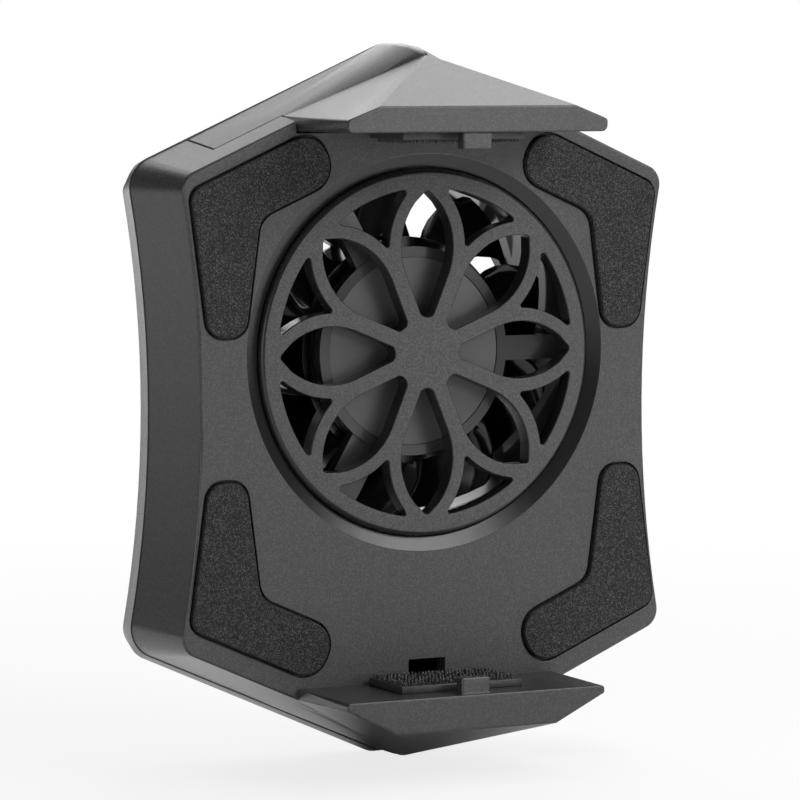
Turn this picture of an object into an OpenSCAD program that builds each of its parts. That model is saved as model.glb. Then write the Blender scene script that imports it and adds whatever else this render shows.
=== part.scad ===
// Clamp-on cooling fan for a phone.
// X runs to the right seen from the front, Y from the front face to the back, Z up along the jaw's slide.
// The origin is on the fan's axis, on the flat front face.

/* [Body] */
// Radius of the round mouth in the front face
ring_r = 24; // [22:0.5:26]
// Width of the face beside the mouth, at the waist
side_band = 5.95; // [5.4:0.05:7]
// How far the corners stand out past the waist
waist_in = 2.65; // [1.6:0.05:3.4]
// Height of the face between the mouth and the closed upper jaw
end_band = 2.8; // [2.4:0.1:4.4]
// Height of the fan's axis above the middle of the body
ring_up = 6.5; // [5:0.25:8]
// Slope of the four slanted edges, in degrees
slant = 23.8; // [21:0.2:26]
// Corner radius of the front outline
corner_r = 2.4; // [1.8:0.1:3.4]
// Radius of the body's upper and lower points
point_r = 1.2; // [0.8:0.1:2]
// Depth of the front shell, from the face to the seam
front_d = 12.2; // [12:0.2:14]
// How far the seam stands outside the front outline
seam_out = 1.4; // [0.8:0.1:2]
// Radius along the edge of the front face
edge_r = 0.3; // [0.3:0.1:0.8]
// Wall of both shells
wall = 1.6; // [1.4:0.1:1.9]
// Thickness of the front face
face_t = 2.2; // [2:0.1:2.6]

/* [Rear cover] */
// Depth of the rear cover, from the seam to the back
rear_d = 4.8; // [4.6:0.1:6]
// How far its rim stands proud of the seam
rim_out = 0.1; // [0:0.05:0.3]
// Radius of its outer edge
rim_r = 2.7; // [2.3:0.1:3.2]
// How much further its lower slanted edges stand out behind the seam
low_out = 0.4; // [0:0.05:0.5]
// Thickness of its back
back_t = 1.8; // [1.5:0.1:2.1]
// Number of bars across the air outlet
vent_bars = 9; // [8:1:14]
// Width of each bar
vent_bar_w = 1.4; // [1:0.1:2]
// Lean of the bars from straight outwards, in degrees
vent_lean = 32; // [0:2:40]
// Angle of the first outlet bar (degrees)
vent_turn = 38; // [0:1:40]

/* [Grille] */
// Width of the bevel round the mouth
mouth_bevel = 1.6; // [1.2:0.1:2]
// Gap between the mouth and the grille
mouth_gap = 0.2; // [0.1:0.05:0.3]
// Radius on the grille's outer edge
grille_edge = 0.8; // [0.4:0.1:1.2]
// Number of petals
petals = 8; // [7:1:9]
// Width of the grille's rim at the petals' tips
tip_band = 2.5; // [2.3:0.1:3]
// Width of the grille's rim between the petals
rim_band = 2.3; // [1.8:0.1:2.5]
// How far the ribs of two petals run into each other where they meet
rib_meet = 0.25; // [0.15:0.05:0.4]
// Length of a petal from its widest part to its tip
petal_taper = 6.9; // [6:0.1:7.4]
// Radius of the grille's solid middle
petal_foot = 4.3; // [3.8:0.1:5]
// Radius of a petal's inner end
petal_foot_r = 1.15; // [0.9:0.05:1.3]
// Radius of a petal's tip
petal_tip_r = 0.45; // [0.3:0.05:0.6]
// Width of the rib round a petal
rib_w = 1.65; // [1.5:0.05:1.9]
// Thickness of the flange that holds the grille
flange_t = 1; // [0.8:0.1:1.2]
// How far the flange reaches behind the face
flange_w = 1.2; // [0.9:0.1:1.4]

/* [Jaws] */
// Width of both jaws
jaw_w = 34.6; // [32:0.2:36]
// How far the jaws reach out from the face
jaw_reach = 13.3; // [12:0.1:16]
// Travel of the upper jaw
jaw_travel = 20; // [16:0.5:20.5]
// Height of a jaw's edge at its ends, where it meets the body
jaw_step = 1.3; // [1:0.1:1.6]
// Depth at which a jaw's ridge reaches its full height
ridge_d = 7.5; // [5:0.1:10]
// How far the upper ridge stands out of the slanted edges at the front
ridge_out = 0.15; // [0.1:0.05:0.3]
// How much lower the bow of the lower ridge is
keel_less = 0.25; // [0.1:0.05:0.4]
// Height of the upper lip
upper_lip_h = 3.1; // [2.8:0.1:3.6]
// Width of the upper lip's flat top
upper_lip_w = 26.2; // [24:0.2:28]
// Height of the lower lip
lower_lip_h = 4.1; // [3.6:0.1:4.6]
// Width of the lower lip's flat bottom
lower_lip_w = 21.6; // [19:0.2:24]
// Height of the upper lip at its ends
upper_end_h = 1.5; // [1.2:0.1:1.8]
// Height of the lower lip at its ends
lower_end_h = 0.9; // [0.7:0.1:1.2]
// Depth at which the upper jaw's facets start, at its ends
facet_d = 3.6; // [2:0.1:3.8]
// Depth at which the lower jaw's facets start, at its ridge
keel_d = 6; // [4:0.1:7]
// Thickness of a lip
lip_t = 1; // [0.8:0.1:1.4]
// Width of the tab at the middle of each lip
tab_w = 3.8; // [3:0.1:5]
// Height of the tab
tab_h = 2; // [1.6:0.1:2.4]
// Thickness of the tab
tab_t = 1.4; // [1.2:0.1:1.8]
// Width of the slot in the face behind the lower tab
slot_w = 5; // [4:0.1:6]
// Height of that slot
slot_h = 2.7; // [2.4:0.1:3.2]
// Thickness of the sliding roof
roof_t = 2.3; // [2:0.1:2.6]
// Depth of the face's strip in front of the roof
strip_d = 4.2; // [3.8:0.1:4.4]
// Clearance round the sliding jaw
slide_gap = 0.25; // [0.2:0.05:0.35]
// Wall of the hollow jaws
jaw_wall = 2; // [1.6:0.1:2.4]

/* [Jaw pads] */
// Width of a jaw pad
jaw_pad_w = 16.2; // [14:0.2:18]
// Depth of a jaw pad
jaw_pad_d = 8.8; // [8:0.1:9.6]
// Thickness of a jaw pad
jaw_pad_t = 1.4; // [1.2:0.1:1.8]
// Gap between a jaw pad and the face
jaw_pad_back = 0.5; // [0.3:0.1:0.9]

/* [Foam pads] */
// Thickness of a foam pad
foam_t = 1.5; // [1.3:0.1:1.8]
// Depth of the pocket that holds it
foam_sink = 1; // [0.8:0.1:1.1]
// Face left beside a pad at the body's side
foam_side = 1.2; // [1:0.05:1.5]
// Face left beside a pad at the slanted edge
foam_slant = 2.35; // [2:0.05:2.7]
// Width of the slanted arm
foam_arm = 6.5; // [6:0.1:6.8]
// How far the slanted arm stops short of the middle of its edge
foam_short = 0.35; // [0:0.05:1]
// Width of the upright arm at its free end
foam_leg = 4.7; // [4.4:0.05:5.2]
// Width of the pad at its inner corner
foam_knee = 9; // [8:0.1:9.2]
// Height of the upright arm's end above the middle of the body
foam_low = 8.6; // [7:0.2:10]
// Gap round a pad in its pocket
foam_gap = 0.35; // [0.2:0.05:0.4]
// Shift of all four pads above the middle of the body
foam_up = 0.5; // [0:0.1:0.8]

/* [Slide and springs] */
// Width of a guide leg
leg_w = 2.8; // [2.4:0.1:3]
// Depth of a guide leg
leg_d = 6; // [5.4:0.1:6.2]
// Gap between a leg and the fan's duct
leg_gap = 0.7; // [0.5:0.1:1]
// Clearance of a leg in its guides
guide_gap = 0.2; // [0.15:0.05:0.25]
// Thickness of the guide ribs
guide_t = 1.4; // [1.2:0.1:1.6]
// Height of the guides
guide_h = 9; // [7:0.2:9.6]
// Height of the stop at the foot of a leg
foot_h = 2.5; // [2:0.1:3]
// How far the stop stands out
foot_out = 1.7; // [1.4:0.1:2]
// Length of a spring with the jaw closed
spring_len = 20; // [18:0.2:20.6]
// Radius of a spring, at the middle of its wire
spring_r = 1.3; // [1.1:0.05:1.4]
// Radius of the spring's wire
wire_r = 0.25; // [0.2:0.01:0.28]
// Number of turns in a spring
spring_turns = 14; // [10:1:15]

/* [Fan] */
// Wall of the duct
duct_wall = 1.2; // [1:0.1:1.4]
// Gap between the blades' tips and the duct
tip_gap = 0.6; // [0.4:0.1:0.9]
// Radius of the rotor's hub
hub_r = 13.8; // [13.4:0.1:14.2]
// Depth of the rotor's hub
hub_d = 7.6; // [7:0.1:7.8]
// Wall of the hub
hub_wall = 1.1; // [0.9:0.1:1.1]
// Number of blades
blades = 9; // [7:1:11]
// Thickness of a blade
blade_t = 0.9; // [0.7:0.05:1.2]
// Turn of a blade from its front to its back edge, in degrees
blade_sweep = 35; // [30:1:36]
// Angle at which the rotor rests (degrees)
rotor_turn = 4; // [0:1:40]
// Radius of the motor holder
holder_r = 12.7; // [12.4:0.1:13]
// Thickness of the motor holder
holder_t = 1.6; // [1.5:0.1:1.8]
// Depth of the holder's face behind the duct's front edge
holder_set = 0.4; // [0.2:0.1:0.6]
// Radius of the cover disc on the holder
disc_r = 11.4; // [10.8:0.1:11.6]
// Thickness of the cover disc
disc_t = 0.3; // [0.2:0.05:0.4]
// Depth of the fan's screw lugs behind the duct's front edge
lug_set = 3; // [2.6:0.1:3.4]
// Thickness of a screw lug
lug_t = 2; // [1.6:0.1:2.2]
// Width of a strut
strut_w = 3; // [2.6:0.1:3.4]
// Width of the strut that carries the lead
lead_strut_w = 4.4; // [4:0.1:5]
// Depth of the struts
strut_t = 2; // [1.9:0.1:2.2]
// Running gap in front of the rotor
run_gap = 0.6; // [0.5:0.1:0.8]

/* [Motor] */
// Radius of the shaft
shaft_r = 1; // [0.9:0.05:1.1]
// Running clearance of the shaft in its sleeve
shaft_gap = 0.03; // [0.02:0.01:0.06]
// Wall of the bearing sleeve
sleeve_wall = 1.2; // [1:0.05:1.3]
// Wall of the tube that holds the sleeve
tube_wall = 1; // [0.8:0.05:1.1]
// Thickness of the steel ring in the hub
yoke_t = 0.7; // [0.5:0.05:0.8]
// Thickness of the magnet ring
magnet_t = 1.7; // [1.5:0.05:1.8]
// Air gap between the magnet and the poles
air_gap = 0.5; // [0.35:0.05:0.6]
// Thickness of the fan's circuit board
fan_board_t = 0.8; // [0.6:0.05:0.9]
// Depth of the stack of pole plates
core_d = 2.4; // [2:0.1:2.6]
// Width of a pole's neck
neck_w = 2.2; // [1.8:0.1:2.6]
// Thickness of the winding on a neck
coil_t = 1; // [0.8:0.05:1.1]

/* [Electronics] */
// Thickness of the control board
board_t = 1; // [0.8:0.1:1.2]
// Width of the control board
board_w = 28; // [26:0.5:30]
// Width of the fan driver's chip
chip_w = 5; // [4:0.1:6]
// Height of that chip
chip_h = 3.5; // [3:0.1:3.8]
// Thickness of that chip
chip_t = 1.4; // [1:0.1:1.6]
// Size of a small part on the board
part_w = 1.4; // [1:0.1:1.8]
// Width of the power socket's mouth
usb_w = 8.9; // [8.6:0.1:9.2]
// Height of the power socket
usb_h = 3.2; // [3:0.1:3.3]
// Depth of the power socket
usb_d = 7.3; // [6.6:0.1:7.6]
// Wall of the socket's metal shell
usb_wall = 0.3; // [0.25:0.05:0.4]
// Place of the socket to the right of the middle
usb_x = 10.5; // [9.5:0.25:11]
// Width of the push switch
switch_w = 6; // [5.4:0.1:6.2]
// Height of the push switch
switch_h = 3.4; // [3:0.1:3.6]
// Radius of the power button
button_r = 3.6; // [3.2:0.1:4]
// How far the button stands out of the back
button_out = 0.5; // [0.3:0.1:0.8]
// Travel of the button
button_travel = 0.4; // [0.3:0.05:0.5]
// Clearance round the button
button_gap = 0.2; // [0.15:0.05:0.3]
// Radius of each wire in the fan's lead
lead_r = 0.4; // [0.3:0.05:0.42]

/* [Fasteners] */
// Radius of a case screw
case_screw_r = 1; // [0.9:0.05:1.1]
// Radius of a small screw, for the fan and the board
small_screw_r = 0.7; // [0.6:0.05:0.8]
// Wall of the posts that take the screws
post_wall = 1.3; // [1.1:0.05:1.4]
// Clearance of a screw in its hole
screw_gap = 0.05; // [0.03:0.01:0.1]

/* [Hidden] */
$fn = 96;
past = 1;

// Body outline, worked out from the middle of the body
half_w = ring_r + side_band;
corner_x = half_w + waist_in;
rise = tan(slant);
jaw_half = jaw_w / 2;
jaw_h = ring_r + end_band + ring_up;
point_h = jaw_h + jaw_step + rise * jaw_half;
corner_h = point_h - rise * corner_x;
side_r = (pow(corner_h, 2) + pow(waist_in, 2)) / (2 * waist_in);
side_x = half_w + side_r;
reach = point_h * cos(slant);
along = [cos(slant), -sin(slant)];
outwards = [sin(slant), cos(slant)];
point_z = (reach - point_r) / cos(slant) - ring_up;

// Depths
back_y = front_d + rear_d;
back_in = back_y - back_t;
rim_e = seam_out + rim_out;
duct_y = face_t + flange_t;
holder_y = duct_y + holder_set;
holder_back = holder_y + holder_t;
strut_back = holder_y + strut_t;
hub_y = strut_back + run_gap;
hub_back = hub_y + hub_d;
duct_back = back_in - 0.3;

// Fan and grille radii
mouth_r = ring_r - mouth_bevel;
grille_r = mouth_r - mouth_gap;
flange_r = mouth_r + flange_w;
duct_r = grille_r;
duct_in = duct_r - duct_wall;
blade_r = duct_in - tip_gap;
petal_tip = grille_r - tip_band;
petal_mid = petal_tip - petal_taper;
half_petal = 180 / petals;
petal_w = 2 * (petal_mid * sin(half_petal) - rib_w + rib_meet);
petal_drop = (pow(petal_taper, 2) - pow(petal_w / 2, 2)) / petal_w;
petal_r = petal_drop + petal_w / 2;
petal_c = [petal_mid, -petal_drop];
foot_c = [petal_foot + petal_foot_r, 0];
foot_to_petal = petal_c - foot_c;
petal_lean = atan2(foot_to_petal[1], foot_to_petal[0])
    + acos((petal_foot_r - petal_r) / norm(foot_to_petal));
rib_r = petal_r + rib_w;
bisector = [cos(half_petal), sin(half_petal)];
fork_s = bisector * petal_c + sqrt(pow(bisector * petal_c, 2) - petal_c * petal_c + pow(rib_r, 2));
rim_in = grille_r - rim_band;
fork_corner = 0.3;
rim_a = acos((pow(rim_in, 2) + petal_c * petal_c - pow(rib_r, 2)) / (2 * rim_in * norm(petal_c)))
    + atan2(petal_c[1], petal_c[0]);

// Sliding jaw
jaw_z = jaw_h - ring_up;
low_jaw_z = -jaw_h - ring_up;
leg_in = duct_r + leg_gap;
leg_out = leg_in + leg_w;
leg_mid = (leg_in + leg_out) / 2;
leg_y = strip_d + 0.8;
roof_half = leg_out + 0.5;
rib_x = leg_in - guide_gap - guide_t;
guide_z = sqrt(max(0, pow(flange_r, 2) - pow(rib_x, 2))) + 0.6;
foot_top = guide_z - jaw_travel - slide_gap;
foot_z = foot_top - foot_h;
anchor_z = foot_z - spring_len;
anchor_r = 1;

// Motor radii
tube_in = shaft_r + shaft_gap + sleeve_wall;
tube_r = tube_in + tube_wall;
seat_gap = 0.05;
cup_r = hub_r - hub_wall;
yoke_in = cup_r - seat_gap - yoke_t;
magnet_in = yoke_in - seat_gap - magnet_t;
pole_r = magnet_in - air_gap;
cup_back = hub_back - hub_wall;
fan_board_y = holder_back;
coil_y = fan_board_y + fan_board_t + 0.4;
core_y = coil_y + coil_t;
tube_back = core_y + core_d + 0.8;

// Fasteners and electronics
small_post_r = small_screw_r + post_wall;
case_post_r = case_screw_r + post_wall;
case_head_r = 1.9 * case_screw_r;
small_head_r = 1.9 * small_screw_r;
lug_angles = [90, 230, 310];
lug_r = flange_r + small_post_r + 0.2;
lug_y = duct_y + lug_set;
lug_neck = 0.75 * small_post_r;
lead_angle = 240;
case_x = leg_out + 0.6 + case_post_r;
case_z = corner_at(0, 0, corner_r)[1] - 2.6;
head_seat = front_d + 1.6;
board_y = holder_back;
board_back = board_y + board_t;
board_top = -flange_r - 1.2;
board_low = -jaw_h + 1.8 - ring_up;
board_posts = board_w * [[-0.393, -0.286], [0.393, -0.143]] + [[0, board_top], [0, board_top]];
usb_y = board_back + usb_h / 2;
usb_set = 0.4;
button_z = board_top - 7.5;
plunger_r = 1.7;
plunger_y = board_back + switch_h - 0.6;
plunger_h = 1.3;
button_flange = 1;

shell_color = "#3a3a3c";
blade_color = "#141416";
foam_color = "#1b1b1c";
steel_color = "silver";
copper_color = "peru";
board_color = "darkgreen";

// Points along an arc, from angle a to angle b
function arc(c, r, a, b, n) = [for (i = [0 : n]) let (t = a + (b - a) * i / n) c + r * [cos(t), sin(t)]];

// Centre of a corner of radius r, between the slanted edge grown by top and the side grown by e
function corner_at(e, top, r) = let (
    foot = (reach + top - r) * outwards, f = foot - [side_x, 0], g = f * along)
    foot - (g + sqrt(pow(g, 2) - f * f + pow(side_r - e + r, 2))) * along;

// One quarter of the body's outline, from its point to its waist: the side grown by e, the slanted
// edge by top and the point by tip
function quarter(e, top, tip) = let (
    tip_r = max(0.3, point_r + tip),
    r = max(0.4, corner_r + min(e, top)),
    c = corner_at(e, top, r),
    turn = atan2(c[1], side_x - c[0]))
    concat(
        arc([0, (reach + tip - tip_r) / cos(slant)], tip_r, 90, 90 - slant, 4),
        [[jaw_half, slant_z(jaw_half, -top)]],
        arc(c, r, 90 - slant, -turn, 8),
        after(arc([side_x, 0], side_r - e, 180 - turn, 180, 8)));

function backwards(v) = [for (i = [len(v) - 1 : -1 : 0]) v[i]];
function inner(v) = [for (i = [1 : len(v) - 2]) v[i]];
function after(v) = [for (i = [1 : len(v) - 1]) v[i]];

// The whole outline, clockwise seen from the front
function closed(q, low) = concat(
    q,
    [for (p = inner(backwards(low))) [p[0], -p[1]]],
    [for (p = low) [-p[0], -p[1]]],
    [for (p = inner(backwards(q))) [-p[0], p[1]]]);
function outline(e, tip, low) = closed(quarter(e, e, tip), quarter(e, e, low));

// An outline grown by e, but by top along the slanted top and by low along the slanted bottom
function cover_outline(e, top, low) = closed(quarter(e, top, top), quarter(e, low, low));

// Growth of the front shell's outline at depth y
function draft(y) = seam_out * y / front_d;

// Height of a slanted edge at x, moved in by d, from the middle of the body
function slant_z(x, d) = (reach - d - x * sin(slant)) / cos(slant);

// The slanted top out to x = w, moved in by d, closed at the height low
function gable(w, d, low) = let (side = slant_z(w, d) - ring_up)
    [[w, side], [w, low], [-w, low], [-w, side], [0, slant_z(0, d) - ring_up]];

// Growth of the points at depth y: both ridges are bowed outwards
function ridge(y) = ridge_out + seam_out * (1 - pow(1 - min(1, y / ridge_d), 2));
function keel(y) = ridge(y) - keel_less;

// Half width of the body at height z, from its middle
function side_at(z) = side_x - sqrt(pow(side_r, 2) - pow(z, 2));

// A corner rounded with radius r
function unit(v) = v / norm(v);
function rounded(a, b, c, r, n = 6) = let (
    u = unit(a - b), v = unit(c - b), half = acos(u * v) / 2,
    m = b + unit(u + v) * r / sin(half),
    s = b + u * r / tan(half) - m, t = b + v * r / tan(half) - m,
    from = atan2(s[1], s[0]), turn = atan2(t[1], t[0]) - from,
    sweep = turn > 180 ? turn - 360 : turn < -180 ? turn + 360 : turn)
    arc(m, r, from, from + sweep, n);
function round_off(p, r) = let (n = len(p))
    [for (i = [0 : n - 1]) each rounded(p[(i + n - 1) % n], p[i], p[(i + 1) % n], r[i])];

// Solid through flat shapes with the same number of points, one for each [depth, points], each end
// closed by a fan from its middle
module skin(sections) {
    n = len(sections[0][1]);
    last = len(sections) - 1;
    hubs = (last + 1) * n;
    rings = [for (s = sections) each [for (p = s[1]) [p[0], s[0], p[1]]]];
    middles = [for (s = [sections[0], sections[last]]) let (z = [for (p = s[1]) p[1]])
        [0, s[0], (min(z) + max(z)) / 2]];
    sides = [for (i = [0 : last - 1], j = [0 : n - 1], half = [0, 1]) let (k = (j + 1) % n)
        half == 0 ? [i * n + j, i * n + n + j, i * n + n + k] : [i * n + j, i * n + n + k, i * n + k]];
    front = [for (j = [0 : n - 1]) [hubs, j, (j + 1) % n]];
    back = [for (j = [0 : n - 1]) [hubs + 1, last * n + (j + 1) % n, last * n + j]];
    polyhedron(concat(rings, middles), concat(sides, front, back));
}

// Solid through body outlines, one for each [depth, growth, growth at the upper and lower points]
module loft(rings) {
    skin([for (s = rings) [s[0], [for (p = outline(s[1], s[2], s[3])) [p[0], p[1] - ring_up]]]]);
}

// Tube of six sides through points, each with the direction that points out of its bend
module tube(path, outs, r) {
    n = len(path);
    dirs = [for (i = [0 : n - 1]) unit(path[min(i + 1, n - 1)] - path[max(i - 1, 0)])];
    points = [for (i = [0 : n - 1], a = [0 : 60 : 300])
        path[i] + r * (outs[i] * cos(a) + cross(dirs[i], outs[i]) * sin(a))];
    sides = [for (i = [0 : n - 2], j = [0 : 5], half = [0, 1]) let (k = (j + 1) % 6)
        half == 0 ? [i * 6 + j, i * 6 + 6 + j, i * 6 + 6 + k] : [i * 6 + j, i * 6 + 6 + k, i * 6 + k]];
    polyhedron(points, concat(sides, [[0, 1, 2, 3, 4, 5], [for (j = [5 : -1 : 0]) (n - 1) * 6 + j]]));
}

// Flat shape drawn as seen from the front, between two depths
module slab(y0, y1) {
    translate([0, y1, 0]) rotate([90, 0, 0]) linear_extrude(y1 - y0) children();
}

// Round bar along the depth
module rod(r, y0, y1, at = [0, 0]) {
    translate([at[0], y0, at[1]]) rotate([-90, 0, 0]) cylinder(r = r, h = y1 - y0);
}

// Round tube along the depth
module pipe(r_out, r_in, y0, y1) {
    difference() {
        rod(r_out, y0, y1);
        rod(r_in, y0 - past, y1 + past);
    }
}

// Box from its lowest to its highest corner
module block(low, high) {
    translate(low) cube(high - low);
}

// Screw with a cross slot, its head towards the back
module screw(r, head_r, seat, tip, at) {
    slot = 0.5 * r;
    difference() {
        union() {
            rod(r, tip, seat + r / 2, at);
            rod(head_r, seat, seat + 1.2 * r, at);
        }
        for (a = [0, 90])
            translate([at[0], seat + 1.2 * r, at[1]]) rotate([0, a, 0])
                cube([1.2 * head_r, r, slot], center = true);
    }
}

module mirrored() {
    children();
    mirror([1, 0, 0]) children();
}

// Form of the front shell, moved in by d
module front_form(d, from, to) {
    loft([for (y = [from, to]) let (e = draft(y) - d) [y, e, e, e]]);
}

// Outer form of the front shell, with its rounded front edge and bowed ridges
module front_skin() {
    edge = [for (a = [0 : 30 : 90]) let (y = edge_r * (1 - cos(a)), in = edge_r * (1 - sin(a)))
        [y, draft(y) - in, ridge(y) - in, keel(y) - in]];
    rest = [for (y = concat(ridge_d * [0.25, 0.55, 1], [front_d])) [y, draft(y), ridge(y), keel(y)]];
    loft(concat(edge, rest));
}

// Section of a jaw at its lip, measured from its inner face
module jaw_lip(flat_w, h, end_h) {
    polygon(round_off(
        [[-jaw_half, 0], [jaw_half, 0], [jaw_half, end_h],
            [flat_w / 2, h], [-flat_w / 2, h], [-jaw_half, end_h]],
        [end_h / 2, end_h / 2, end_h / 3, 0.3, 0.3, end_h / 3]));
}

// A jaw's hook, the upper one, its facets starting at one depth at its ends and at another at its
// ridge, grown by bow there; the lower one is its mirror with another lip
module hook(flat_w, h, end_h, end_d, ridge_y, bow) {
    end_z = slant_z(jaw_half, -draft(end_d)) - ring_up;
    ends = [[jaw_half, end_z], [jaw_half, jaw_z], [-jaw_half, jaw_z], [-jaw_half, end_z]];
    top = arc([0, point_z], point_r + bow, 90 + slant, 90 - slant, 8);
    hull() {
        slab(end_d, end_d + 1) polygon(ends);
        slab(ridge_y, ridge_y + 1) polygon(concat([[1, jaw_z], [-1, jaw_z]], top));
        slab(-jaw_reach, -jaw_reach + lip_t) translate([0, jaw_z]) jaw_lip(flat_w, h, end_h);
    }
}

// What lies in front of the edge where a hook's facets start
module facet_space(end_d, ridge_y) {
    translate([0, 0, jaw_z + 0.5]) linear_extrude(point_h) polygon(
        [[-jaw_half, -past], [-jaw_half, end_d], [0, ridge_y], [jaw_half, end_d], [jaw_half, -past]]);
}

// Hollow inside a hook, open to the back
module hook_hollow(to) {
    root = jaw_half - (jaw_wall * (1 + 1 / cos(slant)) + 0.5 - jaw_step) / rise;
    floor_z = jaw_z + jaw_wall;
    hull() {
        slab(to - 0.5, to) polygon(gable(root, jaw_wall, floor_z));
        slab(-jaw_reach / 2, -jaw_reach / 2 + 0.5) translate([-root / 4, floor_z]) square([root / 2, 1.4]);
    }
}

module lower_half() {
    translate([0, 0, -2 * ring_up]) mirror([0, 0, 1]) children();
}

// Tab at the middle of a lip, on the jaw's inner face
module lip_tab() {
    from = -jaw_reach + lip_t / 2;
    block([-tab_w / 2, from, jaw_z - tab_h], [tab_w / 2, from + tab_t, jaw_z + 0.5]);
}

// One foam pad's outline, upper right, grown by g
function foam_outline(g) = let (
    side = foam_side - g, slope = foam_slant - g, arm = foam_arm + 2 * g, low = foam_low - g,
    a = [side_at(low) - side, low],
    b = [corner_x - side, slant_z(corner_x - side, slope)],
    c = (reach - slope) * outwards + (foam_short - g) * along,
    d = (reach - slope - arm) * outwards + (foam_short - g) * along,
    e_x = corner_x - foam_side - foam_knee - g,
    e = [e_x, slant_z(e_x, slope + arm)],
    f = [a[0] - foam_leg - 2 * g, low],
    end_r = foam_leg * 0.46 + g, arm_r = foam_arm * 0.45 + g)
    round_off([a, b, c, d, e, f], [end_r, 1.8 + g, arm_r, arm_r, 3 - g, end_r]);

module foam_place(right, up) {
    translate([0, 0, foam_up - ring_up]) mirror([right ? 0 : 1, 0, 0]) mirror([0, 0, up ? 0 : 1]) children();
}

module foam_pad(right, up) {
    color(foam_color) foam_place(right, up)
        slab(foam_sink - foam_t, foam_sink) polygon(foam_outline(0));
}

// Opening of a petal, pointing right
function petal_side() = arc(petal_c, petal_r, petal_lean, atan2(petal_drop, petal_taper), 10);
function petal() = let (side = petal_side(), n = len(side), far = [for (p = side) [p[0], -p[1]]])
    concat(
        [for (i = [0 : n - 3]) side[i]],
        rounded(side[n - 3], side[n - 1], far[n - 3], petal_tip_r),
        [for (i = [n - 3 : -1 : 0]) far[i]],
        inner(arc(foot_c, petal_foot_r, 360 - petal_lean, petal_lean, 6)));

// Opening between two petals, at the rim
function fork_side() = let (
    fork = fork_s * bisector - petal_c,
    edge = rim_in * [cos(rim_a), sin(rim_a)] - petal_c)
    arc(petal_c, rib_r, atan2(fork[1], fork[0]), atan2(edge[1], edge[0]), 8);
function turned(p) = let (a = 2 * half_petal)
    [cos(a) * p[0] + sin(a) * p[1], sin(a) * p[0] - cos(a) * p[1]];
function fork() = let (
    side = fork_side(), last = len(side) - 1, far = [for (p = side) turned(p)],
    rim = arc([0, 0], rim_in, rim_a, 2 * half_petal - rim_a, 8))
    concat(
        rounded(far[1], side[0], side[1], fork_corner, 3),
        inner(side),
        rounded(side[last - 1], side[last], rim[1], fork_corner, 3),
        inner(rim),
        rounded(rim[7], far[last], far[last - 1], fork_corner, 3),
        inner(backwards(far)));

module front_grille() {
    edge = [for (a = [0 : 15 : 90]) [grille_r - grille_edge * (1 - sin(a)), grille_edge * (1 - cos(a))]];
    color(shell_color) difference() {
        rotate([-90, 0, 0]) rotate_extrude() polygon(concat([[0, 0]], edge,
            [[grille_r, face_t], [flange_r, face_t], [flange_r, duct_y], [duct_in, duct_y],
            [duct_in, face_t], [0, face_t]]));
        for (i = [0 : petals - 1]) {
            rotate([0, -i * 2 * half_petal, 0]) slab(-past, face_t + past) polygon(petal());
            rotate([0, -i * 2 * half_petal, 0]) slab(-past, face_t + past) polygon(fork());
        }
    }
}

// All that lies under the slanted top, moved in by d
module under_top(d, half) {
    low = -ring_up;
    skin([for (y = [-past, front_d + 2 * past]) [y, gable(half, d - draft(y), low)]]);
}

// What lies over the slanted top moved in by d, from a depth on
module roof_space(d, half, from) {
    difference() {
        block([-half, from, slant_z(half, d) - ring_up - past], [half, front_d + past, point_h + past]);
        under_top(d, half + past);
    }
}

// Guides of one leg, on the right: a rib each side and a bed in front
module leg_guides() {
    top = guide_z + guide_h;
    to = leg_y + leg_d + guide_gap;
    block([rib_x, face_t - 0.2, guide_z], [leg_in - guide_gap, to, top]);
    block([leg_out + guide_gap, face_t - 0.2, guide_z], [half_w - wall / 2, to, top]);
    block([rib_x, face_t - 0.2, guide_z], [half_w - wall / 2, leg_y - guide_gap, top]);
}

// Places a shape drawn on the power socket's axis, its mouth towards -Z
module usb_place() {
    translate([usb_x, usb_y, -ring_up - slant_z(usb_x, -draft(usb_y))]) rotate([0, -slant, 0]) children();
}

// Stadium-shaped bar on the socket's axis
module usb_bar(w, h, z0, z1) {
    translate([0, 0, z0]) linear_extrude(z1 - z0) {
        square([w - h, h], center = true);
        for (s = [-1, 1]) translate([s * (w - h) / 2, 0]) circle(d = h);
    }
}

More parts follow.
